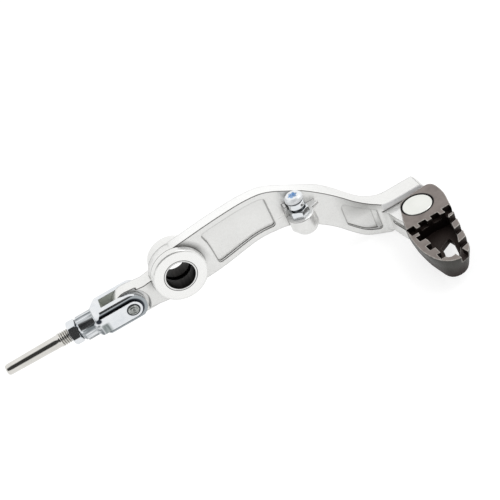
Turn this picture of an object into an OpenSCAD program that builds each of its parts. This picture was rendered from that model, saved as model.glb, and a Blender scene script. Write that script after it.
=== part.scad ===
// Rear brake pedal of a motorcycle: forged lever on two plain bushes, cast
// toe plate riveted to the front end, stop screw in a side boss, and a fork
// head with spring clip, lock nut and push rod at the rear end.
// Origin: centre of the pivot bore. +X points forward to the toe plate,
// +Y towards the motorcycle, +Z up. Millimetres.

/* [Pivot] */
// Bore of the bushes, the size of the pivot bolt
bush_bore_d = 16; // [12:0.5:18]
// Wall of a bush
bush_wall = 1.2; // [0.8:0.1:1.6]
// Length of each bush
bush_len = 9.2; // [6:0.1:10]
// Length of the hub along the pivot axis
hub_len = 21; // [21:0.5:28]
// Diameter of the hub's outer face
hub_front_d = 30.8; // [28:0.1:34]
// Diameter of the hub's inner face
hub_back_d = 27; // [26:0.5:30]
// Rounding of the hub's edges
hub_edge_r = 1; // [0.4:0.1:2]

/* [Arm] */
// Thickness of the arm
arm_t = 7.5; // [7:0.1:10]
// Distance of the arm's outer face from the hub's middle plane
arm_front = 6; // [5:0.1:6.5]
// Depth of the two pockets in the outer face
pocket_depth = 1.6; // [0.8:0.1:2.5]
// Width of the flat rim round a pocket
pocket_rim = 3.4; // [2.6:0.1:4]

/* [Rear end] */
// Distance of the fork pin behind the pivot
pin_back = 30.8; // [29:0.1:36]
// Distance of the fork pin below the pivot
pin_drop = 4.7; // [0:0.1:8]
// Diameter of the fork pin
pin_d = 8; // [7:0.1:9]
// Thickness of the tongue in the fork
tongue_t = 7.7; // [6.5:0.1:8.5]
// Radius of the tongue round the pin
tongue_r = 9; // [8.4:0.1:9.8]

/* [Fork head] */
// Length from the pin to the end of the neck
fork_len = 31.2; // [30:0.1:40]
// Depth of the slot behind the pin
fork_slot = 14.6; // [12.4:0.1:16]
// Height of the fork
fork_h = 16; // [15:0.1:17]
// Thickness of each fork leg
fork_leg_t = 4; // [3.4:0.1:4.6]
// Diameter of the round neck
neck_d = 14; // [12:0.1:14.4]
// Length of the round neck
neck_len = 10; // [8:0.1:12]
// Thickness of the spring clip's sheet
clip_t = 0.8; // [0.6:0.1:1]
// Gap between the fork's leg and the clip's leaf, which the pin's shoulder keeps
clip_lift = 0.5; // [0.2:0.1:0.8]
// Width of the clip's leaf
clip_w = 10; // [9:0.1:11]

/* [Push rod] */
// Thread diameter of the push rod
rod_d = 8; // [6:0.5:8]
// Whole length of the push rod
rod_len = 61; // [50:1:90]
// Length of the threaded stretch
rod_thread_len = 28.5; // [26:0.5:40]
// Diameter of the rod where its thread ends
rod_neck_d = 7.2; // [6.6:0.1:7.4]
// Diameter of the rod's tip
rod_tip_d = 6.3; // [5:0.1:6.6]
// Length of the rod inside the fork
rod_engaged = 22; // [18:0.5:26]
// Thickness of the rod's lock nut
rod_nut_h = 5; // [3:0.1:6]
// Width across the flats of the rod's lock nut
rod_nut_af = 12; // [12:0.1:14]

/* [Stop screw] */
// Distance of the stop screw in front of the pivot
stop_x = 71.8; // [68:0.1:76]
// Distance of the screw axis outside the hub's middle plane
stop_out = 12; // [12:0.1:14]
// Height of the boss's machined top
stop_seat_z = -2.6; // [-5:0.1:0]
// Diameter of the boss
stop_boss_d = 14.6; // [13:0.1:17]
// Depth of the boss below its machined top
stop_boss_h = 12.6; // [11:0.1:16]
// Diameter of the screw's thread
stop_screw_d = 6; // [5:0.5:6]
// Diameter of the screw's head
stop_head_d = 10; // [9:0.1:11]
// Height of the screw's head
stop_head_h = 3.2; // [2.5:0.1:4]
// Diameter of the collar below the head
stop_collar_d = 8.8; // [8:0.1:9]
// Length of the collar
stop_collar_h = 4.4; // [3:0.1:6]
// Thickness of the screw's lock nut
stop_nut_h = 4.6; // [3:0.1:6]
// Width across the flats of the screw's lock nut
stop_nut_af = 10; // [9:0.1:11]
// Gap between the collar and the lock nut, the travel left to adjust
stop_gap = 1; // [0.4:0.1:1.5]
// Reach of the flat top's wing past the boss
stop_wing = 4.4; // [2:0.1:5]

/* [Toe plate] */
// Distance of the rivet in front of the pivot
rivet_x = 130.5; // [128:0.1:134]
// Distance of the rivet outside the hub's middle plane
rivet_out = 23.2; // [22:0.1:25]
// Height of the tread, below the pivot
tread_drop = 28; // [26:0.1:30]
// Depth of the toe plate's walls
toe_h = 12.4; // [11:0.1:14]
// Thickness of the toe plate's flat end
toe_plate_t = 4; // [3.4:0.1:5]
// Length of the toe plate beyond the rivet
toe_reach = 54; // [51:0.5:57]
// Width of the teeth's gaps
tooth_gap_w = 4.7; // [3:0.1:5]
// Depth of the teeth's gaps
tooth_gap_h = 3.6; // [2:0.1:5]
// Spacing of the teeth along the sides
tooth_pitch = 9.8; // [9:0.1:10.4]
// Diameter of the rivet's head
rivet_head_d = 16.7; // [14:0.1:17]
// Diameter of the rivet's shank
rivet_d = 8; // [6:0.1:10]

/* [Hidden] */
$fn = 96;
eps = 0.01;
// Radial clearance of a pressed or screwed fit
fit = 0.03;
// Clearance of the pin in the tongue and of the tongue in the fork
run_gap = 0.05;
side_gap = 0.15;
// Clearance between the fork's round end and the lever's shoulder
shoulder_gap = 2.2;

arm_back = arm_t - arm_front;
pin_x = -pin_back;
pin_z = -pin_drop;
bush_od = bush_bore_d + 2 * bush_wall;
fork_gap = tongue_t + 2 * side_gap;
fork_w = fork_gap + 2 * fork_leg_t;
shoulder_r = fork_h / 2 + shoulder_gap;
tongue_back = tongue_t / 2;
pin_end_d = 6;
claw_front = 25;
claw_behind = 15;
neck_x = pin_x - fork_len;
rod_tip_x = neck_x - rod_nut_h - (rod_len - rod_engaged);
tread_z = -tread_drop;
seat_z = tread_z - toe_plate_t;
rivet_y = -rivet_out;

// Edges of the arm seen from the side, as control points of a smooth curve.
// The upper edge runs from the hub to the level toe end, the lower one back.
arm_top = [[-3, 14.4], [10, 15.6], [22, 16.9], [34, 17.9], [46, 18.4], [56, 17.6],
           [63, 15.2], [71, 10.6], [79, 5.6], [86.5, -0.8], [92, -6], [97.3, -11.6],
           [103, -18], [109.4, -23.6], [115, -26.8], [120, tread_z], [130, tread_z],
           [140.4, tread_z]];
arm_low = [[142.6, tread_z - 3], [142.6, tread_z - 9], [138, -42.4], [128, -45],
           [116.4, -47.4], [108.2, -45.8], [101.4, -42], [94.8, -35], [87.9, -26.8],
           [80.3, -19.8], [73, -14.2], [65, -10.2], [56.6, -8.6], [47, -8],
           [37, -9.4], [25, -11.6], [14, -12.8], [0, -13]];

// Toe end: outer face of the upright web, and the seat block below the plate
web_front = 9.2;
seat_block_h = 12.8;
lug_slot_h = 3;
lug_slot_w = 10;
lug_slot_drop = 4.4;

// The outer face sweeps out from the arm to the web, seen in plan:
// forward of the pivot, towards the motorcycle.
toe_sweep = [[104, -arm_front], [109, -arm_front - 0.5], [113, -arm_front - 1.6],
             [116, -web_front]];
// Its inner face stands out where the arm bends down
inner_run = [[200, 1.8], [123, 1.8], [116, 2.8], [109, 3.6], [105, 4.8], [101, 6.2],
             [96, 6.8], [91, 6.4], [87, 5.2], [83, 3.2], [78, arm_back]];
// Seat block in plan: it leaves the web and ends round the rivet
seat_plan = [[112, arm_back - 1], [112, -arm_front], [114.8, -web_front + 0.4],
             [116.8, -12.4], [117.6, -18], [118.8, -25], [122, -31], [128, -34.4],
             [135.6, -33.4], [141, -28], [143, -19], [142, -10], [141.4, arm_back - 1]];

// Outline of the toe plate from above, seen from the rivet: forward, outward
toe_outline = [[-4, -9.4], [1, -10.2], [6, -10.6], [12.2, -11.2], [15, -8.6], [15.7, -3],
               [15.2, 4], [13, 12], [11, 18.6], [9, 26.5], [6.8, 36], [4.4, 45],
               [1.6, 51], [-2.5, 53.6], [-8, 53], [-12.4, 49.2], [-15, 44],
               [-16.7, 36], [-16.7, 27], [-15.4, 17], [-12.4, 6.6], [-9.2, -2],
               [-7.2, -6.8]];
toe_hole = [[-10.2, 17.4], [7.6, 17.4], [6.8, 22], [5, 29], [2.2, 38.6], [-2, 46.6],
            [-6.2, 49.6], [-9.4, 48.8], [-10.4, 44], [-10.4, 30]];
// The walls lean in to this outline at the bottom
toe_bottom = [[13.4, 0], [12.4, 11], [10.4, 18], [8.4, 26], [6.9, 33], [5.2, 39],
              [3.4, 42.8], [1.2, 46.4], [-1.4, 49.6], [-4.6, 51.4], [-8.4, 51.4],
              [-11.2, 49.6], [-12.7, 46], [-13.4, 40.3], [-14.2, 35.3], [-14.5, 28],
              [-14.3, 20], [-13.4, 13], [-12, 7], [-10.4, 0]];
toe_mud_hole = [[-5.2, 30.4], [1.6, 26.8], [2.2, 30.5], [0.2, 38.6], [-3.4, 46.4],
                [-6.6, 48.8], [-8.8, 47.8], [-8.2, 42], [-5.8, 35]];
toe_lip = 1.4;
toe_wall_cut = [3.6, 3.2, 2.2];
toe_floor_t = 3;
toe_outline_reach = 54;
toe_seat_clear = 12.2;

// Limits of the two pockets seen from the side; the arm's rim does the rest
pocket_corner_r = 1.6;
long_pocket = [[19, 30], [19.6, 11.6], [20.8, 7], [21.2, 2], [21.8, -20],
               [58, -20], [58, 30]];
short_pocket = [[94.7, 0], [94.7, -60], [112.4, -60], [112.4, 0]];
short_pocket_slope = 2.4;

// Lug slot of the toe plate in the seat block
lug_slot_x = 112;
lug_slot_y = -16;
lug_slot_len = 8.4;

// Stop boss: thickness of the wing, and the fin beside the nut
stop_wing_t = 1.4;
stop_fin_x = -6.7;
stop_fin_t = 2;
stop_fin_h = 8.4;

// Rear arm seen from the side: its upper and lower edge near the hub
rear_top = [[-4, 12], [-13, 4], [-20, 3]];
rear_low = [[-22, -11.4], [-12, -13], [0, -12]];
tongue_root_x = -11;
tongue_root_z = 2.6;

// Teeth: place of the first gap from the rivet on each side, and how the
// forward row steps in towards the tip
inner_gap_at = [-10.4, 25.6];
outer_gap_at = [3.1, 26];
outer_gap_step = 3;
outer_gap_turn = 16;
outer_gap_len = 16;
outer_gap_more = 0.4;
cross_gap_at = [[-12.6, 21], [-5.4, 21], [2.2, 21], [9.8, 20.4]];
cross_gap_len = 7;
tip_gap_at = [-3.6, 46.5];
tip_gap_len = 10;
tip_gap_turn = -79;

function turned(a) = [cos(a), sin(a)];

function mid(a, b, c, d, t) =
    0.5 * (2 * b + (c - a) * t + (2 * a - 5 * b + 4 * c - d) * t * t
           + (3 * b - a - 3 * c + d) * t * t * t);

// Points of a smooth curve through the given ones, open at its ends
function smooth_run(p, n) =
    let (last = len(p) - 1)
    [for (i = [0:last - 1], k = [0:n - 1])
        mid(p[max(i - 1, 0)], p[i], p[i + 1], p[min(i + 2, last)], k / n)];

// Points of a smooth closed curve through the given ones
function smooth_loop(p, n) =
    let (c = len(p))
    [for (i = [0:c - 1], k = [0:n - 1])
        mid(p[(i + c - 1) % c], p[i], p[(i + 1) % c], p[(i + 2) % c], k / n)];

arm_curve_steps = 3;
toe_curve_steps = 3;
arm_outline = concat(smooth_run(arm_top, arm_curve_steps),
                     [arm_top[len(arm_top) - 1]],
                     smooth_run(arm_low, arm_curve_steps),
                     [arm_low[len(arm_low) - 1]]);

// A plate standing along the lever: its outline is seen from the side
module side_plate(front, thickness) {
    translate([0, -front + thickness, 0])
        rotate([90, 0, 0])
            linear_extrude(thickness)
                children();
}

// A round bar along the pivot's direction, from one depth to another
module cross_bar(x, z, d, from, to) {
    translate([x, to, z])
        rotate([90, 0, 0])
            cylinder(d = d, h = to - from);
}

// Side view of one pocket: the arm less its rim, inside the pocket's limits
module pocket_shape(limits) {
    offset(r = pocket_corner_r)
        offset(delta = -pocket_corner_r)
            intersection() {
                offset(delta = -pocket_rim)
                    polygon(arm_outline);
                polygon(limits);
            }
}

// Pocket at the toe end: the face sweeps out there, and the end slopes
module short_pocket_cut() {
    far = 200;
    end_x = short_pocket[3][0];
    floor_y = pocket_depth - arm_front;
    intersection() {
        side_plate(web_front, web_front + floor_y)
            pocket_shape(short_pocket);
        translate([0, 0, -far / 2])
            linear_extrude(far)
                polygon([[0, floor_y], [0, -web_front], [end_x, -web_front],
                         [end_x, floor_y - short_pocket_slope],
                         [end_x - short_pocket_slope, floor_y]]);
    }
}

module hub_solid() {
    e = hub_edge_r;
    fr = hub_front_d / 2;
    br = hub_back_d / 2;
    h = hub_len / 2;
    rotate([-90, 0, 0])
        rotate_extrude()
            union() {
                polygon([[0, -h], [fr - e, -h], [fr, e - h], [fr, 0], [br, 0],
                         [br, h - e], [br - e, h], [0, h]]);
                translate([fr - e, e - h])
                    circle(r = e, $fn = 24);
                translate([br - e, h - e])
                    circle(r = e, $fn = 24);
            }
}

// Rear arm: full width up to the round shoulder, then the fork's tongue
module rear_arm() {
    far = 4 * shoulder_r;
    difference() {
        side_plate(arm_front, arm_front + tongue_back)
            polygon(concat(rear_top, [[pin_x, pin_z + tongue_r], [pin_x, pin_z - tongue_r]],
                           rear_low));
        cross_bar(pin_x, pin_z, 2 * shoulder_r, -2 * arm_front, -tongue_back);
        translate([pin_x - far, -2 * arm_front, pin_z - far / 2])
            cube([far, 2 * arm_front - tongue_back, far]);
    }
    side_plate(tongue_back, tongue_t)
        union() {
            translate([pin_x, pin_z])
                circle(r = tongue_r);
            polygon([[pin_x, pin_z - tongue_r], [tongue_root_x, pin_z - tongue_r],
                     [tongue_root_x, tongue_root_z], [rear_top[2][0], tongue_root_z],
                     [pin_x, pin_z + tongue_r]]);
        }
}

// Boss of the stop screw, round at the bottom and blended to the arm's face
module stop_boss() {
    r = stop_boss_d / 2;
    round_r = r - 1;
    reach = stop_out - arm_front + 1;
    translate([stop_x, -stop_out, stop_seat_z - stop_boss_h])
        hull() {
            translate([0, 0, round_r])
                cylinder(r = r, h = stop_boss_h - round_r, $fn = 40);
            translate([0.6, 0, 0])
                rotate_extrude($fn = 40)
                    intersection() {
                        translate([r - round_r, round_r])
                            circle(r = round_r, $fn = 32);
                        square([r, 2 * round_r]);
                    }
            translate([-r + 0.6, reach - 1, 0.4])
                cube([2 * r - 1.2, 1, stop_boss_h - 0.4]);
        }
    translate([stop_x, -stop_out, stop_seat_z])
        hull() {
            translate([0, 0, -stop_wing_t])
                linear_extrude(stop_wing_t)
                    polygon([[0, reach], [r + stop_wing - 2.2, reach],
                             [r + stop_wing, 2.5], [r + 0.5, 0.8], [0, 0]]);
            translate([0, reach - 1, -stop_boss_h / 2])
                cube([r - 1, 1, 1]);
        }
    stop_fin(reach);
}

// Fin that stands on the boss beside the nut, sloping down from the arm
module stop_fin(reach) {
    translate([stop_x + stop_fin_x, -stop_out, stop_seat_z - 1])
        rotate([90, 0, 90])
            linear_extrude(stop_fin_t)
                polygon([[reach, 0], [reach, stop_fin_h], [reach - 1, stop_fin_h],
                         [reach - 3.4, stop_fin_h - 1.6], [reach - 3.4, 0]]);
}

// Arm with the upright web at its toe end: side view and plan together
module arm() {
    far = 200;
    intersection() {
        side_plate(far / 2, far)
            polygon(arm_outline);
        translate([0, 0, -far / 2])
            linear_extrude(far)
                polygon(concat([[-far, arm_back], [-far, -arm_front]], toe_sweep,
                               [[far, -web_front]], inner_run));
    }
}

// Block that carries the toe plate
module seat_block() {
    translate([0, 0, seat_z - seat_block_h])
        linear_extrude(seat_block_h)
            polygon(seat_plan);
}

module lever() {
    color("gainsboro")
        difference() {
            union() {
                arm();
                hub_solid();
                rear_arm();
                stop_boss();
                seat_block();
            }
            cross_bar(0, 0, bush_od + 2 * fit, -hub_len, hub_len);
            cross_bar(pin_x, pin_z, pin_d + 2 * run_gap, -hub_len, hub_len);
            side_plate(arm_front + eps, pocket_depth + eps)
                pocket_shape(long_pocket);
            short_pocket_cut();
            translate([stop_x, -stop_out, stop_seat_z - stop_boss_h + 2])
                cylinder(d = stop_screw_d + 2 * run_gap, h = stop_boss_h);
            translate([rivet_x, rivet_y, seat_z - seat_block_h - 1])
                cylinder(d = rivet_d + 2 * fit, h = seat_block_h + 2);
            toe_lug_slot();
        }
}

// Slot in the seat block's rear side that takes the toe plate's lug
module toe_lug_slot() {
    r = lug_slot_h / 2;
    translate([lug_slot_x, lug_slot_y, seat_z - lug_slot_drop])
        rotate([0, 90, 0])
            linear_extrude(lug_slot_len)
                union() {
                    circle(r = r, $fn = 24);
                    translate([-r, -lug_slot_w])
                        square([2 * r, lug_slot_w]);
                    translate([0, -lug_slot_w])
                        circle(r = r, $fn = 24);
                }
}

// Split bush; the ends are named from the photographed side
module bush(at) {
    r = bush_od / 2;
    b = bush_bore_d / 2;
    translate([0, at, 0])
        rotate([-90, 0, 0])
            rotate_extrude()
                polygon([[b + 0.4, 0], [r, 0], [r, bush_len], [b + 0.4, bush_len],
                         [b, bush_len - 0.4], [b, 0.4]]);
}

module front_bush() {
    color("dimgray")
        bush(-hub_len / 2);
}

module rear_bush() {
    color("dimgray")
        bush(hub_len / 2 - bush_len);
}

// Outline points of the toe plate in plan; the reach moves the outer part
function toe_place(p) =
    let (stretch = toe_reach / toe_outline_reach)
    [for (q = p) [rivet_x + q[0], rivet_y - q[1] * (q[1] > 0 ? stretch : 1)]];

// Cast toe plate: drafted walls, mud hole, and square-cut teeth round it
module toe_plate() {
    outer = toe_place(smooth_loop(toe_outline, toe_curve_steps));
    bottom = toe_place(smooth_loop(toe_bottom, 2));
    hole = toe_place(smooth_loop(toe_hole, 2));
    color([0.43, 0.39, 0.38])
        difference() {
            hull() {
                translate([0, 0, tread_z - toe_lip])
                    linear_extrude(toe_lip)
                        polygon(outer);
                translate([0, 0, tread_z - toe_h])
                    linear_extrude(toe_lip)
                        polygon(bottom);
            }
            translate([0, 0, tread_z - toe_h + toe_floor_t])
                linear_extrude(toe_h)
                    polygon(hole);
            translate([0, 0, tread_z - toe_h - 1])
                linear_extrude(toe_h)
                    polygon(toe_place(toe_mud_hole));
            toe_under_cut();
            translate([rivet_x, rivet_y, tread_z - 2])
                cylinder(d = rivet_head_d + 1.2, h = 3);
            translate([rivet_x, rivet_y, tread_z - toe_h])
                cylinder(d = rivet_d + 2 * fit, h = toe_h + 1);
            for (i = [0:2]) {
                tooth_gap(inner_gap_at[0] - toe_wall_cut[i], inner_gap_at[1] + i * tooth_pitch,
                          toe_wall_cut[i] + 4, 0);
                tooth_gap(outer_gap_at[0] - i * outer_gap_step,
                          outer_gap_at[1] + i * (tooth_pitch + outer_gap_more),
                          outer_gap_len, outer_gap_turn);
            }
            for (p = cross_gap_at)
                tooth_gap(p[0], p[1], cross_gap_len, 90);
            tooth_gap(tip_gap_at[0], tip_gap_at[1], tip_gap_len, tip_gap_turn);
        }
}

// Cut between two teeth: its start seen from the rivet, length and turn
module tooth_gap(x, y, length, turn) {
    translate([rivet_x + x, rivet_y - y, tread_z - tooth_gap_h])
        rotate([0, 0, turn])
            translate([0, -tooth_gap_w / 2, 0])
                cube([length, tooth_gap_w, tooth_gap_h + 1]);
}

// Room for the lever's seat block below the toe plate's flat end
module toe_under_cut() {
    side = toe_reach;
    translate([rivet_x - side, rivet_y - toe_seat_clear, tread_z - toe_h - 1])
        cube([2 * side, side, toe_h + 1 - toe_plate_t]);
}

module toe_rivet() {
    low = seat_z - seat_block_h;
    color("whitesmoke")
        translate([rivet_x, rivet_y, 0])
            rotate_extrude()
                polygon([[0, low - 2.4], [rivet_d / 2 + 1.6, low - 2.4],
                         [rivet_d / 2 + 2.6, low - 1.4], [rivet_d / 2 + 2.6, low],
                         [rivet_d / 2, low], [rivet_d / 2, tread_z - 2],
                         [rivet_head_d / 2, tread_z - 2], [rivet_head_d / 2, tread_z - 0.3],
                         [rivet_head_d / 2 - 0.3, tread_z], [0, tread_z]]);
}

// Hexagon nut with its bore, standing on the plane z = 0
module hex_nut(af, h, bore) {
    r = af / 2 / cos(30);
    difference() {
        intersection() {
            rotate([0, 0, 30])
                cylinder(r = r, h = h, $fn = 6);
            rotate_extrude()
                polygon([[0, 0], [af / 2, 0], [r, 0.6], [r, h - 0.6],
                         [af / 2, h], [0, h]]);
        }
        translate([0, 0, -1])
            cylinder(d = bore, h = h + 2);
    }
}

module stop_nut() {
    color("lightsteelblue")
        translate([stop_x, -stop_out, stop_seat_z])
            hex_nut(stop_nut_af, stop_nut_h, stop_screw_d + 2 * run_gap);
}

// Stop screw: low round head with a six-lobe recess over a plain collar
module stop_screw() {
    nut_top = stop_seat_z + stop_nut_h;
    collar = nut_top + stop_gap;
    head = collar + stop_collar_h;
    low = stop_seat_z - stop_boss_h + 4.5;
    r = stop_head_d / 2;
    color("lightsteelblue")
        translate([stop_x, -stop_out, 0])
            difference() {
                rotate_extrude()
                    polygon([[0, low], [stop_screw_d / 2 - 0.8, low],
                             [stop_screw_d / 2, low + 0.8], [stop_screw_d / 2, collar],
                             [stop_collar_d / 2 - 0.4, collar],
                             [stop_collar_d / 2, collar + 0.4],
                             [stop_collar_d / 2, head - 0.8],
                             [stop_collar_d / 2 - 0.7, head - 0.8],
                             [stop_collar_d / 2 - 0.7, head], [r - 0.4, head],
                             [r, head + 0.4], [r, head + stop_head_h - 1.1],
                             [r - 1.1, head + stop_head_h], [0, head + stop_head_h]]);
                translate([0, 0, head + stop_head_h - 2.2])
                    linear_extrude(3) {
                        circle(r = 2, $fn = 24);
                        for (k = [0:5])
                            rotate([0, 0, 60 * k])
                                translate([2, 0])
                                    circle(r = 0.75, $fn = 16);
                    }
            }
}

// Fork head: square fork with round ends, a turned neck and a cone between
module clevis() {
    w = fork_w / 2;
    body = fork_len - neck_len - 0.6;
    corner_r = 0.67 * fork_h;
    color("silver")
        difference() {
            union() {
                intersection() {
                    side_plate(w, fork_w)
                        union() {
                            translate([pin_x, pin_z])
                                circle(d = fork_h);
                            translate([pin_x - body, pin_z - fork_h / 2])
                                square([body, fork_h]);
                        }
                    translate([pin_x + fork_h, 0, pin_z])
                        rotate([0, -90, 0])
                            rotate_extrude()
                                polygon([[0, 0], [corner_r, 0], [corner_r, fork_h + body - 4],
                                         [neck_d / 2 + 0.6, fork_h + body],
                                         [0, fork_h + body]]);
                }
                translate([neck_x, 0, pin_z])
                    rotate([0, 90, 0])
                        rotate_extrude()
                            polygon([[0, 0], [neck_d / 2 - 1.4, 0], [neck_d / 2, 1.4],
                                     [neck_d / 2, neck_len], [w - 0.3, neck_len + 1.2],
                                     [w - 0.3, neck_len + 2.4], [0, neck_len + 2.4]]);
            }
            side_plate(fork_gap / 2, fork_gap)
                union() {
                    translate([pin_x - fork_slot + fork_gap / 2, pin_z - fork_h])
                        square([fork_slot + fork_h, 2 * fork_h]);
                    translate([pin_x - fork_slot, pin_z - fork_h])
                        square([fork_gap / 2 + eps, 2 * fork_h]);
                }
            cross_bar(pin_x, pin_z, pin_d + 2 * fit, -fork_w, fork_w);
            translate([neck_x - 1, 0, pin_z])
                rotate([0, 90, 0])
                    cylinder(d = rod_d + 2 * run_gap, h = fork_len);
        }
}

// Pin of the fork, with a thinner domed end that shows in the clip's leaf
module clevis_pin() {
    w = fork_w / 2 + clip_lift;
    r = pin_d / 2;
    e = pin_end_d / 2;
    color("silver")
        translate([pin_x, 0, pin_z])
            rotate([90, 0, 0])
                rotate_extrude()
                    polygon([[0, -w - 1], [r - 0.8, -w - 1], [r, -w - 0.2],
                             [r, w], [e, w], [e, w + clip_t + 0.3],
                             [e - 0.8, w + clip_t + 0.8], [0, w + clip_t + 1]]);
}

// Spring clip: a flat leaf on the pin's shoulder, a step down past the
// fork's root, then a claw that grips the neck from below
module clevis_clip() {
    leaf_y = fork_w / 2 + clip_lift + fit;
    claw_x = neck_x + 2.4;
    claw_len = neck_len - 2.8;
    step_x = neck_x + neck_len + 1.2;
    r = neck_d / 2 + fit;
    color("silver") {
        difference() {
            union() {
                side_plate(leaf_y + clip_t, clip_t)
                    union() {
                        translate([pin_x, pin_z])
                            circle(d = clip_w);
                        translate([step_x, pin_z - clip_w / 2])
                            square([pin_x - step_x, clip_w]);
                    }
                hull() {
                    translate([step_x - 0.4, -leaf_y - clip_t, pin_z - clip_w / 2])
                        cube([0.8, clip_t, clip_w]);
                    translate([claw_x + claw_len - 0.8, -r - clip_t, pin_z - clip_w / 3])
                        cube([0.4, clip_t, clip_w / 3 + r * sin(claw_front) - 0.2]);
                }
                translate([claw_x, 0, pin_z])
                    rotate([0, 90, 0])
                        linear_extrude(claw_len)
                            claw_section(r);
            }
            cross_bar(pin_x, pin_z, pin_end_d + 2 * fit, -fork_w, fork_w);
            translate([neck_x, 0, pin_z])
                rotate([0, 90, 0])
                    cylinder(r = r, h = neck_len);
        }
    }
}

// Ring of the claw, open at the top: its ends stand above the neck's middle
// by those angles, in front and behind
module claw_section(r) {
    far = 3 * r;
    difference() {
        circle(r = r + clip_t);
        circle(r = r);
        polygon([[0, 0], far * turned(270 - claw_front), far * turned(180),
                 far * turned(90 + claw_behind)]);
    }
}

module rod_nut() {
    color("silver")
        translate([neck_x - rod_nut_h, 0, pin_z])
            rotate([0, 90, 0])
                hex_nut(rod_nut_af, rod_nut_h, rod_d + 2 * run_gap);
}

// Push rod: threaded at the fork, then a long taper to the blunt tip
module push_rod() {
    r = rod_d / 2;
    t = rod_tip_d / 2;
    thread_x = rod_len - rod_thread_len;
    color("lightgray")
        translate([rod_tip_x, 0, pin_z])
            rotate([0, 90, 0])
                rotate_extrude()
                    polygon([[0, 0], [t - 1.4, 0], [t - 0.4, 0.3], [t, 1.2],
                             [rod_neck_d / 2, thread_x - 0.6], [r, thread_x],
                             [r, rod_len - 0.8], [r - 0.8, rod_len], [0, rod_len]]);
}

lever();
front_bush();
rear_bush();
toe_plate();
toe_rivet();
stop_nut();
stop_screw();
clevis();
clevis_pin();
clevis_clip();
rod_nut();
push_rod();
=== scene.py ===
"""Look of the rear brake pedal: materials, fine edges, threads, studio and camera.

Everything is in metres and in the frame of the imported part: the origin is the
centre of the pivot bore, +X points forward to the toe plate, +Y towards the
motorcycle and +Z up.
"""
import math

import bmesh
import bpy
from mathutils import Matrix, Vector


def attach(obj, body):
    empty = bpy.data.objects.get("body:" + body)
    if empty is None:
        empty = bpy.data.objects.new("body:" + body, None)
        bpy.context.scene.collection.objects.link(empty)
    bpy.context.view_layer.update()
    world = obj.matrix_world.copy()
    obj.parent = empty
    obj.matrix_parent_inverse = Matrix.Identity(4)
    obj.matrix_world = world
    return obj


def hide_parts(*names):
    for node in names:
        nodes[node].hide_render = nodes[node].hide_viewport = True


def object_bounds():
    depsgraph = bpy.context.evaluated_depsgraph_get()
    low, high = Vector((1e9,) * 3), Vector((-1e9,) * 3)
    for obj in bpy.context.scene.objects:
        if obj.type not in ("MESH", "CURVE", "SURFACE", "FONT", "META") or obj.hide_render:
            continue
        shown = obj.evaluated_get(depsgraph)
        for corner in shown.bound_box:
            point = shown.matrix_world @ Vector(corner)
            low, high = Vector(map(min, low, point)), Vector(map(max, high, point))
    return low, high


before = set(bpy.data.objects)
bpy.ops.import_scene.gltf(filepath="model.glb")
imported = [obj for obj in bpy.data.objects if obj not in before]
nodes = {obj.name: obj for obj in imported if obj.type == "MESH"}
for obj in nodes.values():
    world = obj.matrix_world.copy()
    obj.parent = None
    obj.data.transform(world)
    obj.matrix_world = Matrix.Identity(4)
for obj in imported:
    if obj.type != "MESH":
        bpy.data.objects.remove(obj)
cad_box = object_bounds()

MM = 0.001

# Camera, matched to the photograph
CAMERA_PLACE = Vector((0.0107, -0.4011, 0.2764))
CAMERA_RIGHT = Vector((0.866, -0.334, -0.373))
CAMERA_UP = Vector((0.497, 0.487, 0.718))
CAMERA_BACK = Vector((-0.058, -0.807, 0.587))
CAMERA_LENS_MM = 64.8
CAMERA_SENSOR_MM = 36.0

# Studio: a white room with one dark card, which gives metal its dark lines, and a key lamp
FLOOR_HALF = 3.0
FLOOR_DROP = 0.0004
FLOOR_ALBEDO = 0.40
FLOOR_GLOW_SEEN = 0.72
FLOOR_GLOW_MIRRORED = 0.60
ROOM_WHITE = 1.0
ROOM_LEVEL = 0.85
CARD_TOWARD = Vector((-0.05, -0.74, 0.68))
CARD_STRETCH = Vector((0.55, 1, 1))
CARD_INNER_DEG = 27
CARD_OUTER_DEG = 45
CARD_LEVEL = 0.04
KEY_PLACE = (0.72, -0.15, 0.85)
KEY_TARGET = (0.03, 0, 0)
KEY_SIZE = 0.6
KEY_POWER = 2.4

# Places of the part that a look depends on, in millimetres
PIN_X = -30.8
ROD_Z = -4.7
PIN_AXIS = (PIN_X, ROD_Z)
NECK_END_X = -51.5
LEG_FRONT_X = -51.0
SLOT_END_X = -50.0
LEG_FACE_Y = -8.0
LEAF_END_X = -50.8
TRACK_END_X = -52.5
LEAF_HALF = 5.0
TRACK_WIDTH = 1.3
LEAF_FACE_Y = -9.33
PIN_RING_R = 3.75
SLOT_HALF = 4.1
BORE_R = 8.25
BUSH_RIM_R = 9.0
BUSH_END_Y = 1.5
HUB_FACE_Y = 10.35
HUB_FACE_R = 14.5
BUSH_SEAT_R = 9.35
STOP_AXIS = (71.8, -12.0)
STOP_HEAD_TOP = 10.6
STOP_BOSS_R = 13.0
STOP_SEAT_Z = -2.6
STOP_HEAD_H = 3.2
RECESS_R = 3.0
RECESS_DEPTH = 2.6
SEAT_TOP_Z = -32.0
SEAT_OUTER_Y = -9.4
SEAT_FROM_X = 104.0
WEB_FRONT_Y = -9.2
SWEEP_X = (92.0, 112.0)
SWEEP_LOW_Z = -27.5
ARM_TOP_X = (8.0, 84.0)
HUB_R = 15.4
ARM_FACE = 6.0
POCKET_MIDDLE_Y = -5.2
LEG_TOP_Z = 3.3
TREAD_Z = -28.0
RIVET_AT = (130.5, -23.2)
RIVET_GAP_R = 9.4

# How far round a point a hollow is looked for when painting shade, in metres, and the widths of
# the painted edge marks in millimetres
SHADE_REACH = 0.0070
CREASE_REACH = 0.0009
POCKET_REACH = 0.003
NOOK_REACH = 0.0022
TOE_REACH = 0.016
EDGE_WIDTH = 1.0
WEAR_AND_HIGHLIGHT_WIDTH = 0.9

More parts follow.
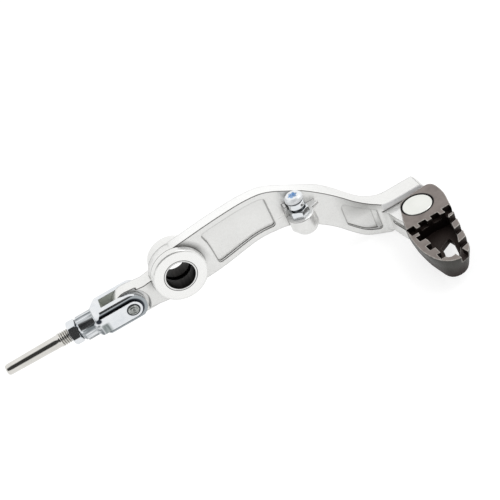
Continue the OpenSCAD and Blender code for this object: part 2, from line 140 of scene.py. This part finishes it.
# Push rod, in millimetres from its tip
ROD_LEN = 61.0
ROD_R = 4.0
ROD_NECK_R = 3.6
ROD_TIP_R = 3.15
ROD_TIP_X = -106.0
THREAD_FROM = 32.5
THREAD_PITCH = 1.25
THREAD_DEPTH = 0.68
THREAD_ROWS = 10
THREAD_SIDES = 72
THREAD_DARK_R = 3.72
THREAD_FLANKS = 0.42
THREAD_START = 0.6
ROD_END_BEVEL = 0.8
TAPER_ROWS = 12
# Blunt tip: distance from the end, and how much slimmer than the tip's radius
TIP_ROUNDING = [(0.0, 1.4), (0.3, 0.4), (1.2, 0.0)]


def new_material(name, rounding=0.0):
    """A material whose edges shade as if they were rounded, by a radius in millimetres."""
    material = bpy.data.materials.new(name)
    material.use_nodes = True
    tree = material.node_tree
    shader = tree.nodes["Principled BSDF"]
    if rounding:
        edge = tree.nodes.new("ShaderNodeBevel")
        edge.samples = 8
        edge.inputs["Radius"].default_value = rounding * MM
        tree.links.new(edge.outputs["Normal"], shader.inputs["Normal"])
    return material, tree, shader


def object_noise(tree, scale, detail=2.0, roughness=0.5, stretch=(1, 1, 1)):
    """Noise fixed to the piece; scale is in waves a metre."""
    place = tree.nodes.new("ShaderNodeTexCoord")
    mapping = tree.nodes.new("ShaderNodeMapping")
    mapping.inputs["Scale"].default_value = stretch
    texture = tree.nodes.new("ShaderNodeTexNoise")
    texture.inputs["Scale"].default_value = scale
    texture.inputs["Detail"].default_value = detail
    texture.inputs["Roughness"].default_value = roughness
    tree.links.new(place.outputs["Object"], mapping.inputs["Vector"])
    tree.links.new(mapping.outputs["Vector"], texture.inputs["Vector"])
    return texture.outputs["Fac"]


def between(tree, factor, low, high, start=0.3, end=0.7):
    """A number that runs from low to high while the factor runs from start to end."""
    ramp = tree.nodes.new("ShaderNodeMapRange")
    ramp.inputs["From Min"].default_value = start
    ramp.inputs["From Max"].default_value = end
    ramp.inputs["To Min"].default_value = low
    ramp.inputs["To Max"].default_value = high
    tree.links.new(factor, ramp.inputs["Value"])
    return ramp.outputs["Result"]


def colour_between(tree, factor, low, high):
    """A colour mixed from two by a factor."""
    mix = tree.nodes.new("ShaderNodeMix")
    mix.data_type = "RGBA"
    mix.inputs["A"].default_value = (*low, 1)
    mix.inputs["B"].default_value = (*high, 1)
    tree.links.new(between(tree, factor, 0, 1), mix.inputs["Factor"])
    return mix.outputs["Result"]


def bump(tree, shader, height, depth, strength):
    """Adds a bump of that depth in metres on top of what the shader has."""
    node = tree.nodes.new("ShaderNodeBump")
    node.inputs["Distance"].default_value = depth
    node.inputs["Strength"].default_value = strength
    tree.links.new(height, node.inputs["Height"])
    socket = shader.inputs["Normal"]
    if socket.is_linked:
        tree.links.new(socket.links[0].from_socket, node.inputs["Normal"])
    tree.links.new(node.outputs["Normal"], socket)


def reckon(tree, operation, first, second=None):
    """A math node on numbers or sockets."""
    node = tree.nodes.new("ShaderNodeMath")
    node.operation = operation
    for socket, value in zip(node.inputs, (first, second)):
        if value is None:
            continue
        if isinstance(value, (int, float)):
            socket.default_value = value
        else:
            tree.links.new(value, socket)
    return node.outputs[0]


def part_place(tree):
    """x, y and z of the shaded point in the part's frame, in millimetres."""
    place = tree.nodes.new("ShaderNodeTexCoord")
    scaled = tree.nodes.new("ShaderNodeVectorMath")
    scaled.operation = "SCALE"
    scaled.inputs["Scale"].default_value = 1 / MM
    split = tree.nodes.new("ShaderNodeSeparateXYZ")
    tree.links.new(place.outputs["Object"], scaled.inputs[0])
    tree.links.new(scaled.outputs["Vector"], split.inputs["Vector"])
    return split.outputs["X"], split.outputs["Y"], split.outputs["Z"]


def below(tree, value, limit, soft=0.05):
    """1 where the value is under the limit and 0 above, soft across it."""
    ramp = tree.nodes.new("ShaderNodeMapRange")
    ramp.inputs["From Min"].default_value = limit - soft
    ramp.inputs["From Max"].default_value = limit + soft
    ramp.inputs["To Min"].default_value = 1
    ramp.inputs["To Max"].default_value = 0
    tree.links.new(value, ramp.inputs["Value"])
    return ramp.outputs["Result"]


def above(tree, value, limit, soft=0.05):
    """1 where the value is over the limit and 0 under it."""
    return outside(tree, below(tree, value, limit, soft))


def near(tree, value, place, half, soft=0.05):
    """1 where the value is within a half width of a place."""
    off = reckon(tree, "ABSOLUTE", reckon(tree, "SUBTRACT", value, place))
    return below(tree, off, half, soft)


def both(tree, *masks):
    """The product of some masks."""
    result = masks[0]
    for mask in masks[1:]:
        result = reckon(tree, "MULTIPLY", result, mask)
    return result


def outside(tree, mask):
    """1 where the mask is 0."""
    return reckon(tree, "SUBTRACT", 1, mask)


def faded(tree, mask, power, strength):
    """The mask bent by a power and weakened."""
    return reckon(tree, "MULTIPLY", reckon(tree, "POWER", mask, power), strength)


def reach(tree, first, second):
    """Length of a two-part vector."""
    squares = reckon(tree, "ADD", reckon(tree, "MULTIPLY", first, first),
                     reckon(tree, "MULTIPLY", second, second))
    return reckon(tree, "SQRT", squares)


def off_axis(tree, first, second, axis):
    """Distance of two coordinates from an axis given by its own two."""
    return reach(tree, reckon(tree, "SUBTRACT", first, axis[0]),
                 reckon(tree, "SUBTRACT", second, axis[1]))


def paint(tree, shader, mask, **looks):
    """Lays other values over a shader's sockets where the mask is 1."""
    names = {"colour": "Base Color", "roughness": "Roughness", "metallic": "Metallic"}
    for key, value in looks.items():
        socket = shader.inputs[names[key]]
        mix = tree.nodes.new("ShaderNodeMix")
        mix.data_type = "RGBA" if key == "colour" else "FLOAT"
        if socket.is_linked:
            tree.links.new(socket.links[0].from_socket, mix.inputs["A"])
        else:
            mix.inputs["A"].default_value = socket.default_value
        if isinstance(value, (int, float)):
            mix.inputs["B"].default_value = value
        elif isinstance(value, tuple):
            mix.inputs["B"].default_value = (*value, 1)
        else:
            tree.links.new(value, mix.inputs["B"])
        tree.links.new(mask, mix.inputs["Factor"])
        tree.links.new(mix.outputs["Result"], socket)


def hollow(tree, distance):
    """1 in a hollow and 0 on open surfaces, from what closes in round it."""
    node = tree.nodes.new("ShaderNodeAmbientOcclusion")
    node.samples = 6
    node.inputs["Distance"].default_value = distance
    return outside(tree, node.outputs["AO"])


def edge_mask(tree, width, sharp=0.80, smooth=0.985):
    """1 along sharp edges within a width in millimetres, and the edge's upward lean."""
    edge = tree.nodes.new("ShaderNodeBevel")
    edge.samples = 8
    edge.inputs["Radius"].default_value = width * MM
    shape = tree.nodes.new("ShaderNodeNewGeometry")
    turn = tree.nodes.new("ShaderNodeVectorMath")
    turn.operation = "DOT_PRODUCT"
    tree.links.new(edge.outputs["Normal"], turn.inputs[0])
    tree.links.new(shape.outputs["Normal"], turn.inputs[1])
    lean = tree.nodes.new("ShaderNodeSeparateXYZ")
    tree.links.new(edge.outputs["Normal"], lean.inputs["Vector"])
    return between(tree, turn.outputs["Value"], 1, 0, sharp, smooth), lean.outputs["Z"]


def metal(name, low, high, rough_low, rough_high, patch, grain, depth, rounding, metallic=1.0):
    """A metal whose colour and roughness vary in patches, with a fine grain.

    patch and grain are in waves a metre, depth is the grain's depth in metres."""
    material, tree, shader = new_material(name, rounding)
    patches = object_noise(tree, patch, detail=3.0)
    fine = object_noise(tree, grain, detail=2.0, roughness=0.6)
    tree.links.new(colour_between(tree, patches, low, high), shader.inputs["Base Color"])
    tree.links.new(between(tree, fine, rough_low, rough_high), shader.inputs["Roughness"])
    shader.inputs["Metallic"].default_value = metallic
    bump(tree, shader, fine, depth, 0.5)
    return material, tree, shader


def turned_rings(tree, shader, radius, mask, spacing, depth):
    """Fine rings that a lathe tool leaves, where the mask is 1."""
    wave = reckon(tree, "SINE", reckon(tree, "MULTIPLY", radius, 2 * math.pi / spacing))
    bump(tree, shader, reckon(tree, "MULTIPLY", wave, mask), depth, 0.4)


def lever_speckle_and_painted_shade(tree, shader):
    """Fine speckle, a soft painted shade in the hollows and a painted dark shade line in the
    creases.
    """
    speckle = object_noise(tree, 620, detail=3.0, roughness=0.7)
    paint(tree, shader, between(tree, speckle, 0, 0.4), colour=(0.80, 0.80, 0.78))
    shade = faded(tree, hollow(tree, SHADE_REACH), 2.0, 0.25)
    paint(tree, shader, shade, colour=(0.35, 0.35, 0.34))
    crease = faded(tree, hollow(tree, CREASE_REACH), 1.2, 0.45)
    paint(tree, shader, crease, colour=(0.20, 0.19, 0.18))


def lever_painted_light_and_shade(tree, shader, x, y, z, radius):
    """Painted light and shade: a painted shadow round the hub, a painted highlight on the arm's
    upward faces and a painted shade on the swept face before the toe.
    """
    # Painted shadow of the hub on the arm's front face, fading away from the hub.
    hub_painted_shadow = both(tree, above(tree, radius, HUB_R - 0.2, 0.1), above(tree, z, 2.0, 6.0),
                     near(tree, y, -ARM_FACE, 0.2),
                     between(tree, radius, 0.95, 0, HUB_R, HUB_R + 4.0))
    paint(tree, shader, hub_painted_shadow, colour=(0.14, 0.14, 0.135))
    # Painted highlight on the faces of the arm that look upwards.
    shape = tree.nodes.new("ShaderNodeNewGeometry")
    facing = tree.nodes.new("ShaderNodeSeparateXYZ")
    tree.links.new(shape.outputs["Normal"], facing.inputs["Vector"])
    arm_top_painted_highlight = both(tree, above(tree, facing.outputs["Z"], 0.55, 0.1),
                   above(tree, x, ARM_TOP_X[0], 4.0), below(tree, x, ARM_TOP_X[1], 12.0))
    paint(tree, shader, arm_top_painted_highlight, colour=(0.985, 0.985, 0.975), metallic=0.5)
    # Painted shade on the outward swept face towards the toe.
    sweep = both(tree, below(tree, facing.outputs["Y"], -0.5, 0.1),
                 below(tree, y, 2.0 - ARM_FACE, 0.2),
                 between(tree, x, 0, 0.92, *SWEEP_X), above(tree, z, SWEEP_LOW_Z, 4.0))
    paint(tree, shader, sweep, colour=(0.33, 0.33, 0.315))


def lever_edges(tree, shader, y):
    """Painted dark reflections along the sharp edges, with a painted highlight on the pocket walls
    between them.
    """
    lines, lean = edge_mask(tree, EDGE_WIDTH, 0.92, 0.994)
    # Painted highlight: the pocket walls made light and nearly matt.
    pocket_wall_painted_highlight = both(tree, near(tree, y, POCKET_MIDDLE_Y, 0.42, 0.15),
                       above(tree, hollow(tree, POCKET_REACH), 0.12, 0.06))
    paint(tree, shader, pocket_wall_painted_highlight, colour=(0.95, 0.95, 0.94), metallic=0.1)
    # Painted dark reflection along the edges, weaker on the rear side.
    paint(tree, shader, both(tree, lines, between(tree, lean, 0.15, 1.0, -0.3, 0.3),
                             between(tree, y, 1.0, 0.3, -1.0, 1.0),
                             outside(tree, pocket_wall_painted_highlight)),
          colour=(0.05, 0.045, 0.04), metallic=0.3)


def lever_seats(tree, shader, x, y, z, radius):
    """Machined places: hub ends, boss top and toe seat, with a painted shade in the bore and a
    painted highlight on the seat's wall.
    """
    ends = both(tree, above(tree, reckon(tree, "ABSOLUTE", y), HUB_FACE_Y),
                below(tree, radius, HUB_FACE_R, 0.3))
    paint(tree, shader, ends, colour=(0.95, 0.95, 0.935), roughness=0.24, metallic=0.95)
    turned_rings(tree, shader, radius, ends, 0.35, 0.00001)
    # Painted shade: the lever's bore, seen only between the bushes, made near black.
    bore = below(tree, radius, BUSH_SEAT_R)
    paint(tree, shader, bore, colour=(0.02, 0.02, 0.02), roughness=0.6)
    stop_near = off_axis(tree, x, y, STOP_AXIS)
    boss_top = both(tree, below(tree, stop_near, STOP_BOSS_R), near(tree, z, STOP_SEAT_Z, 0.12))
    paint(tree, shader, boss_top, colour=(0.93, 0.93, 0.92), roughness=0.2, metallic=0.3)
    turned_rings(tree, shader, stop_near, boss_top, 0.5, 0.00001)
    toe_seat = both(tree, below(tree, y, SEAT_OUTER_Y), above(tree, x, SEAT_FROM_X),
                    near(tree, z, SEAT_TOP_Z, 0.12))
    paint(tree, shader, toe_seat, colour=(0.92, 0.92, 0.91), roughness=0.22)
    # Painted highlight: the wall behind the toe seat made light and nearly matt.
    seat_wall_painted_highlight = both(tree, near(tree, y, WEB_FRONT_Y, 0.25), above(tree, x, SEAT_FROM_X),
                     above(tree, z, SEAT_TOP_Z + 0.9))
    paint(tree, shader, seat_wall_painted_highlight, colour=(0.95, 0.95, 0.95), metallic=0.1)


def lever_look():
    """Bead-blasted aluminium, with turned hub ends and milled seats, painted shade in its hollows,
    painted highlights and painted dark reflections along its edges.
    """
    material, tree, shader = metal("blasted_aluminium", (0.87, 0.87, 0.855), (0.92, 0.92, 0.905),
                                   0.26, 0.38, patch=70, grain=3200, depth=0.00004, rounding=0.8,
                                   metallic=0.75)
    x, y, z = part_place(tree)
    radius = reach(tree, x, z)
    lever_speckle_and_painted_shade(tree, shader)
    lever_painted_light_and_shade(tree, shader, x, y, z, radius)
    lever_edges(tree, shader, y)
    lever_seats(tree, shader, x, y, z, radius)
    return material


def zinc_look(name="bright_zinc"):
    """Bright zinc with a blue cast and a painted dark shade in its nooks."""
    material, tree, shader = metal(name, (0.76, 0.79, 0.82), (0.85, 0.865, 0.88),
                                   0.08, 0.16, patch=260, grain=1500, depth=0.00001, rounding=0.3)
    # Painted shade: darker where the nooks close in round the point.
    nooks = faded(tree, hollow(tree, NOOK_REACH), 1.2, 0.95)
    paint(tree, shader, nooks, colour=(0.06, 0.07, 0.08), roughness=0.3)
    return material, tree, shader


def streaks(tree, shader, mask):
    """Dark streaks along X, a painted reflection of the dark bands that rounded zinc shows."""
    marks = object_noise(tree, 420, detail=2.0, roughness=0.6, stretch=(0.08, 1, 1))
    paint(tree, shader, both(tree, between(tree, marks, 0, 0.9, 0.40, 0.60), mask),
          colour=(0.12, 0.14, 0.15))


def clevis_look():
    """Zinc, with a painted dark reflection on the leg's front face, a painted shadow round the
    clip's leaf, a painted shade in the slot and painted reflection streaks on the neck.
    """
    material, tree, shader = zinc_look("bright_zinc_fork")
    x, y, z = part_place(tree)
    along = reckon(tree, "SUBTRACT", x, reckon(tree, "MINIMUM", reckon(
        tree, "MAXIMUM", x, TRACK_END_X), PIN_X))
    away = reckon(tree, "SUBTRACT", reach(tree, along, reckon(tree, "SUBTRACT", z, ROD_Z)),
                  LEAF_HALF)
    # Painted dark reflection on the leg's front face.
    front = both(tree, below(tree, y, LEG_FACE_Y + 0.1), above(tree, x, LEG_FRONT_X, 0.2))
    paint(tree, shader, front, colour=(0.36, 0.39, 0.41))
    # Painted shadow on the leg's face round the clip's leaf.
    track = both(tree, below(tree, away, TRACK_WIDTH, 0.3), below(tree, y, LEG_FACE_Y + 0.15))
    paint(tree, shader, track, colour=(0.035, 0.04, 0.05), roughness=0.35)
    # Painted shade deep in the slot, darker and nearly matt.
    slot = both(tree, below(tree, reckon(tree, "ABSOLUTE", y), SLOT_HALF),
                above(tree, x, SLOT_END_X), below(tree, z, LEG_TOP_Z - 0.3))
    paint(tree, shader, slot, colour=(0.46, 0.485, 0.44), roughness=0.35, metallic=0.1)
    # Painted reflection streaks on the neck.
    streaks(tree, shader, below(tree, x, NECK_END_X, 0.5))
    return material


def clip_look():
    """Zinc spring steel: a dark ring round the pin, a painted shade on the bend and at the notch,
    and painted reflection streaks on the claw.
    """
    material, tree, shader = zinc_look("bright_zinc_clip")
    x, y, z = part_place(tree)
    pin_near = off_axis(tree, x, z, PIN_AXIS)
    hole = both(tree, below(tree, pin_near, PIN_RING_R, 0.15), below(tree, y, LEAF_FACE_Y + 0.2))
    paint(tree, shader, hole, colour=(0.03, 0.035, 0.04), roughness=0.35)
    # Painted reflection streaks on the claw.
    streaks(tree, shader, below(tree, x, LEAF_END_X + 0.5, 0.5))
    # Painted shade on the bend, mottled.
    bend_shade_noise = object_noise(tree, 420, detail=2.0, stretch=(1, 1, 0.3))
    bend = both(tree, above(tree, x, LEAF_END_X + 0.8, 0.3), below(tree, x, LEAF_END_X + 5.0, 0.9),
                below(tree, z, ROD_Z + 1.0, 0.6))
    paint(tree, shader, bend, colour=colour_between(tree, bend_shade_noise, (0.16, 0.19, 0.19),
                                                    (0.46, 0.49, 0.49)))
    # Painted shade: a dark spot at the notch.
    notch_near = off_axis(tree, x, z, (LEAF_END_X + 1.2, ROD_Z + 4.2))
    paint(tree, shader, below(tree, notch_near, 1.5, 0.3), colour=(0.03, 0.035, 0.045))
    return material


def pin_look():
    """Zinc pin, its riveted end dull and ringed."""
    material, tree, shader = zinc_look("bright_zinc_pin")
    x, y, z = part_place(tree)
    pin_near = off_axis(tree, x, z, PIN_AXIS)
    end = below(tree, y, LEAF_FACE_Y + 0.1)
    patches = object_noise(tree, 900, detail=3.0, roughness=0.7)
    paint(tree, shader, end, colour=colour_between(tree, patches, (0.05, 0.06, 0.055),
                                                   (0.62, 0.64, 0.62)), roughness=0.25)
    wave = reckon(tree, "SINE", reckon(tree, "MULTIPLY", pin_near, 2 * math.pi / 1.3))
    bump(tree, shader, reckon(tree, "MULTIPLY", wave, end), 0.00012, 0.8)
    return material


def stop_screw_look():
    """Zinc, with blue thread sealant left in the six-lobe recess, its pale patches painted glints.
    """
    material, tree, shader = zinc_look("bright_zinc_screw")
    x, y, z = part_place(tree)
    screw_near = off_axis(tree, x, y, STOP_AXIS)
    recess = both(tree, below(tree, screw_near, RECESS_R),
                  below(tree, z, STOP_HEAD_TOP - 0.25, 0.2),
                  above(tree, z, STOP_HEAD_TOP - RECESS_DEPTH))
    patches = object_noise(tree, 900, detail=2.0)
    head = above(tree, z, STOP_HEAD_TOP - STOP_HEAD_H)
    paint(tree, shader, head, colour=(0.86, 0.88, 0.90), roughness=0.32, metallic=0.3)
    # Blue sealant, mottled with pale patches that are painted glints.
    paint(tree, shader, recess, colour=colour_between(tree, patches, (0.16, 0.42, 0.78),
                                                      (0.80, 0.90, 0.98)), roughness=0.3,
          metallic=0.0)
    return material


def bush_look():
    """Steel-backed bush: bright ends, a black dry lining in the bore, a painted shadow round its
    rim and painted shade on its inner ends.
    """
    material, tree, shader = metal("lined_bush_steel", (0.74, 0.74, 0.73), (0.86, 0.86, 0.85),
                                   0.18, 0.28, patch=220, grain=2400, depth=0.00001, rounding=0.2)
    x, y, z = part_place(tree)
    radius = reach(tree, x, z)
    # Painted shadow in the gap between the bush's rim and the hub.
    rim = above(tree, radius, BUSH_RIM_R, 0.06)
    paint(tree, shader, rim, colour=(0.05, 0.05, 0.05))
    lining = below(tree, radius, BORE_R, 0.06)
    patches = object_noise(tree, 500, detail=3.0, stretch=(1, 0.15, 1))
    paint(tree, shader, lining, colour=colour_between(tree, patches, (0.006, 0.006, 0.006),
                                                      (0.026, 0.024, 0.022)),
          roughness=0.5)
    # Painted shade on the bush's inner ends, deep between the bushes.
    inner_end = below(tree, reckon(tree, "ABSOLUTE", y), BUSH_END_Y)
    paint(tree, shader, inner_end, colour=(0.02, 0.02, 0.02), roughness=0.6)
    return material


def toe_look():
    """Dark cast steel, browner on top, its walls greyer and darker as painted shade, black inside
    as painted shade, edge wear with painted highlights, and a painted shadow round the rivet.
    """
    material, tree, shader = metal("cast_toe_steel", (0.180, 0.153, 0.140), (0.255, 0.221, 0.203),
                                   0.36, 0.52, patch=160, grain=2200, depth=0.00007,
                                   rounding=0.5, metallic=0.35)
    x, y, z = part_place(tree)
    # The walls below the tread are greyer, and darker as painted shade.
    walls = below(tree, z, TREAD_Z - 0.35, 0.2)
    patches = object_noise(tree, 130, detail=3.0)
    paint(tree, shader, walls, colour=colour_between(tree, patches, (0.045, 0.044, 0.039),
                                                     (0.085, 0.083, 0.076)))
    # Painted shade: black inside, where the plate closes in round the point.
    open_air = outside(tree, hollow(tree, TOE_REACH))
    inside = both(tree, below(tree, open_air, 0.86, 0.10), walls)
    paint(tree, shader, inside, colour=(0.042, 0.031, 0.028), roughness=0.6, metallic=1.0)
    # Edge wear, lightened further as painted highlights on the edges.
    edge_wear_and_highlight = edge_mask(tree, WEAR_AND_HIGHLIGHT_WIDTH, 0.90, 0.99)[0]
    chips = object_noise(tree, 500, detail=3.0, roughness=0.7)
    rivet_near = off_axis(tree, x, y, RIVET_AT)
    # Painted shadow in the gap round the rivet.
    gap = both(tree, below(tree, rivet_near, RIVET_GAP_R, 0.1), above(tree, z, TREAD_Z - 3.0))
    speckled_wear_and_highlight = both(tree, edge_wear_and_highlight, between(tree, chips, 0.2, 1.0, 0.35, 0.6),
                        outside(tree, inside), outside(tree, gap))
    paint(tree, shader, speckled_wear_and_highlight, colour=(0.60, 0.58, 0.54), roughness=0.3)
    paint(tree, shader, gap, colour=(0.012, 0.010, 0.010), roughness=0.6)
    speckle = object_noise(tree, 1300, detail=3.0, roughness=0.7)
    bump(tree, shader, speckle, 0.00006, 0.35)
    return material


def rod_look():
    """Turned steel, slightly warm, with rougher thread grooves that carry painted shade."""
    material, tree, shader = metal("turned_rod_steel", (0.72, 0.705, 0.67), (0.82, 0.805, 0.77),
                                   0.10, 0.18, patch=150, grain=1500, depth=0.00001, rounding=0.2)
    x, y, z = part_place(tree)
    radius = reach(tree, y, reckon(tree, "SUBTRACT", z, ROD_Z))
    # Painted shade in the thread grooves, which are also rougher.
    groove = both(tree, below(tree, radius, THREAD_DARK_R, 0.12),
                  above(tree, x, ROD_TIP_X + THREAD_FROM, 0.3))
    paint(tree, shader, groove, colour=(0.38, 0.37, 0.345), roughness=0.35)
    marks = object_noise(tree, 260, detail=2.0, roughness=0.6, stretch=(0.06, 1, 1))
    paint(tree, shader, between(tree, marks, 0, 0.3), colour=(0.45, 0.44, 0.41))
    return material


def rivet_look():
    """Pale aluminium rivet with a fine grain."""
    material, tree, shader = metal("rivet_aluminium", (0.82, 0.83, 0.79), (0.87, 0.875, 0.84),
                                   0.30, 0.40, patch=120, grain=2500, depth=0.00001, rounding=0.25)
    speckle = object_noise(tree, 900, detail=3.0, roughness=0.7)
    bump(tree, shader, speckle, 0.00003, 0.3)
    return material


blasted = lever_look()
zinc = zinc_look()[0]
fork_zinc = clevis_look()
clip_zinc = clip_look()
pin_zinc = pin_look()
screw_zinc = stop_screw_look()
bush_steel = bush_look()
toe_steel = toe_look()
rod_steel = rod_look()
rivet_metal = rivet_look()

WELD_DISTANCE = 0.00001
BEVEL_SEGMENTS = 2
BEVEL_FROM_DEG = 35

# Material of each node, and the width in millimetres of its rounded edges
NODE_LOOKS = {
    "lever": (blasted, 0.7),
    "front_bush": (bush_steel, 0.1),
    "rear_bush": (bush_steel, 0.1),
    "toe_plate": (toe_steel, 0.3),
    "toe_rivet": (rivet_metal, 0.1),
    "stop_nut": (zinc, 0.15),
    "stop_screw": (screw_zinc, 0.2),
    "clevis": (fork_zinc, 0.4),
    "clevis_pin": (pin_zinc, 0.15),
    "clevis_clip": (clip_zinc, 0.12),
    "rod_nut": (zinc, 0.15),
}


def dress(name):
    """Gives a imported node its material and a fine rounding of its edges."""
    material, width = NODE_LOOKS[name]
    node = nodes[name]
    node.data.materials.clear()
    node.data.materials.append(material)
    weld = node.modifiers.new("weld", "WELD")
    weld.merge_threshold = WELD_DISTANCE
    edge = node.modifiers.new("edge", "BEVEL")
    edge.width = width * MM
    edge.segments = BEVEL_SEGMENTS
    edge.limit_method = "ANGLE"
    edge.angle_limit = math.radians(BEVEL_FROM_DEG)
    edge.harden_normals = True


for name in NODE_LOOKS:
    dress(name)


def rod_radius(place, turn):
    """Radius of the push rod at a distance from its tip and a turn round it."""
    if place <= THREAD_FROM:
        knots = [(x, ROD_TIP_R - less) for x, less in TIP_ROUNDING]
        knots += [(THREAD_FROM - THREAD_START, ROD_NECK_R), (THREAD_FROM, ROD_R)]
        for (x0, r0), (x1, r1) in zip(knots, knots[1:]):
            if place <= x1:
                return r0 + (r1 - r0) * (place - x0) / (x1 - x0)
    phase = ((place - THREAD_FROM) / THREAD_PITCH - turn) % 1.0
    groove = max(0.0, 1 - abs(phase - 0.5) / THREAD_FLANKS)
    run_in = min(1.0, (place - THREAD_FROM) / THREAD_PITCH)
    end = ROD_R - max(0.0, place - (ROD_LEN - ROD_END_BEVEL))
    return min(end, ROD_R - THREAD_DEPTH * groove * run_in)


def threaded_rod():
    """The push rod with its real thread, in place of the plain solid."""
    blunt = TIP_ROUNDING[-1][0]
    taper = THREAD_FROM - THREAD_START - blunt
    places = [0.0, 0.15, 0.3, 0.75, blunt]
    places += [blunt + taper * k / TAPER_ROWS for k in range(1, TAPER_ROWS + 1)]
    count = round((ROD_LEN - THREAD_FROM) / THREAD_PITCH * THREAD_ROWS)
    places += [THREAD_FROM + (ROD_LEN - THREAD_FROM) * k / count for k in range(count + 1)]
    verts = []
    for place in places:
        for k in range(THREAD_SIDES):
            turn = k / THREAD_SIDES
            angle = 2 * math.pi * turn
            r = rod_radius(place, turn)
            verts.append(((ROD_TIP_X + place) * MM, r * math.cos(angle) * MM,
                          (ROD_Z + r * math.sin(angle)) * MM))
    faces = []
    for row in range(len(places) - 1):
        for k in range(THREAD_SIDES):
            a = row * THREAD_SIDES + k
            b = row * THREAD_SIDES + (k + 1) % THREAD_SIDES
            faces.append((a, a + THREAD_SIDES, b + THREAD_SIDES, b))
    faces.append(tuple(range(THREAD_SIDES)))
    last = (len(places) - 1) * THREAD_SIDES
    faces.append(tuple(last + k for k in reversed(range(THREAD_SIDES))))
    mesh = bpy.data.meshes.new("push_rod_threaded")
    mesh.from_pydata(verts, [], faces)
    mesh.materials.append(rod_steel)
    form = bmesh.new()
    form.from_mesh(mesh)
    bmesh.ops.recalc_face_normals(form, faces=form.faces)
    form.to_mesh(mesh)
    form.free()
    for face in mesh.polygons:
        face.use_smooth = len(face.vertices) == 4
    rod = bpy.data.objects.new("push_rod_threaded", mesh)
    bpy.context.scene.collection.objects.link(rod)
    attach(rod, "push_rod")
    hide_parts("push_rod")


threaded_rod()


def light_paths(tree):
    """Masks of what the camera sees directly, and of what metal or glass shows."""
    path = tree.nodes.new("ShaderNodeLightPath")
    mirrored = reckon(tree, "MAXIMUM", path.outputs["Is Glossy Ray"],
                      path.outputs["Is Transmission Ray"])
    return path.outputs["Is Camera Ray"], mirrored


def studio_world():
    """A white room to eye and metal, at a plain level for matt surfaces."""
    world = bpy.data.worlds.new("studio")
    bpy.context.scene.world = world
    world.use_nodes = True
    tree = world.node_tree
    background = tree.nodes["Background"]
    background.inputs["Color"].default_value = (1, 1, 1, 1)
    place = tree.nodes.new("ShaderNodeTexCoord")
    wide = tree.nodes.new("ShaderNodeVectorMath")
    wide.operation = "MULTIPLY"
    wide.inputs[1].default_value = CARD_STRETCH
    unit = tree.nodes.new("ShaderNodeVectorMath")
    unit.operation = "NORMALIZE"
    toward = tree.nodes.new("ShaderNodeVectorMath")
    toward.operation = "DOT_PRODUCT"
    toward.inputs[1].default_value = (CARD_TOWARD * CARD_STRETCH).normalized()
    tree.links.new(place.outputs["Generated"], wide.inputs[0])
    tree.links.new(wide.outputs["Vector"], unit.inputs[0])
    tree.links.new(unit.outputs["Vector"], toward.inputs[0])
    card = tree.nodes.new("ShaderNodeMapRange")
    card.interpolation_type = "SMOOTHSTEP"
    card.inputs["From Min"].default_value = math.cos(math.radians(CARD_OUTER_DEG))
    card.inputs["From Max"].default_value = math.cos(math.radians(CARD_INNER_DEG))
    card.inputs["To Min"].default_value = ROOM_WHITE
    card.inputs["To Max"].default_value = CARD_LEVEL
    tree.links.new(toward.outputs["Value"], card.inputs["Value"])
    direct, mirrored = light_paths(tree)
    level = tree.nodes.new("ShaderNodeMix")
    level.data_type = "FLOAT"
    tree.links.new(mirrored, level.inputs["Factor"])
    level.inputs["A"].default_value = ROOM_LEVEL
    tree.links.new(card.outputs["Result"], level.inputs["B"])
    seen = tree.nodes.new("ShaderNodeMix")
    seen.data_type = "FLOAT"
    tree.links.new(direct, seen.inputs["Factor"])
    tree.links.new(level.outputs["Result"], seen.inputs["A"])
    seen.inputs["B"].default_value = 1.0
    tree.links.new(seen.outputs["Result"], background.inputs["Strength"])


def studio_floor(height):
    """A white floor that keeps a faint shadow of the object."""
    mesh = bpy.data.meshes.new("floor")
    s = FLOOR_HALF
    mesh.from_pydata([(-s, -s, height), (s, -s, height), (s, s, height), (-s, s, height)],
                     [], [(0, 1, 2, 3)])
    floor = bpy.data.objects.new("floor", mesh)
    bpy.context.scene.collection.objects.link(floor)
    material, tree, shader = new_material("floor_white")
    shader.inputs["Base Color"].default_value = (FLOOR_ALBEDO, FLOOR_ALBEDO, FLOOR_ALBEDO, 1)
    shader.inputs["Roughness"].default_value = 0.9
    shader.inputs["Specular IOR Level"].default_value = 0.0
    direct, mirrored = light_paths(tree)
    glow = reckon(tree, "ADD", reckon(tree, "MULTIPLY", direct, FLOOR_GLOW_SEEN),
                  reckon(tree, "MULTIPLY", mirrored, FLOOR_GLOW_MIRRORED))
    shader.inputs["Emission Color"].default_value = (1, 1, 1, 1)
    tree.links.new(glow, shader.inputs["Emission Strength"])
    mesh.materials.append(material)


def soft_box(name, place, target, size, power):
    """A square area lamp that looks at a point."""
    light = bpy.data.lights.new(name, "AREA")
    light.shape = "SQUARE"
    light.size = size
    light.energy = power
    lamp = bpy.data.objects.new(name, light)
    bpy.context.scene.collection.objects.link(lamp)
    lamp.location = place
    direction = Vector(target) - Vector(place)
    lamp.rotation_euler = direction.to_track_quat("-Z", "Y").to_euler()


def camera():
    """The photograph's camera."""
    data = bpy.data.cameras.new("camera")
    data.lens = CAMERA_LENS_MM
    data.sensor_width = CAMERA_SENSOR_MM
    data.clip_start = 0.01
    data.clip_end = 20
    eye = bpy.data.objects.new("camera", data)
    bpy.context.scene.collection.objects.link(eye)
    turn = Matrix((CAMERA_RIGHT, CAMERA_UP, CAMERA_BACK)).transposed()
    eye.matrix_world = Matrix.Translation(CAMERA_PLACE) @ turn.to_4x4()
    bpy.context.scene.camera = eye


studio_world()
studio_floor(cad_box[0][2] - FLOOR_DROP)
soft_box("key", KEY_PLACE, KEY_TARGET, KEY_SIZE, KEY_POWER)
camera()

bpy.context.scene.view_settings.view_transform = "Standard"
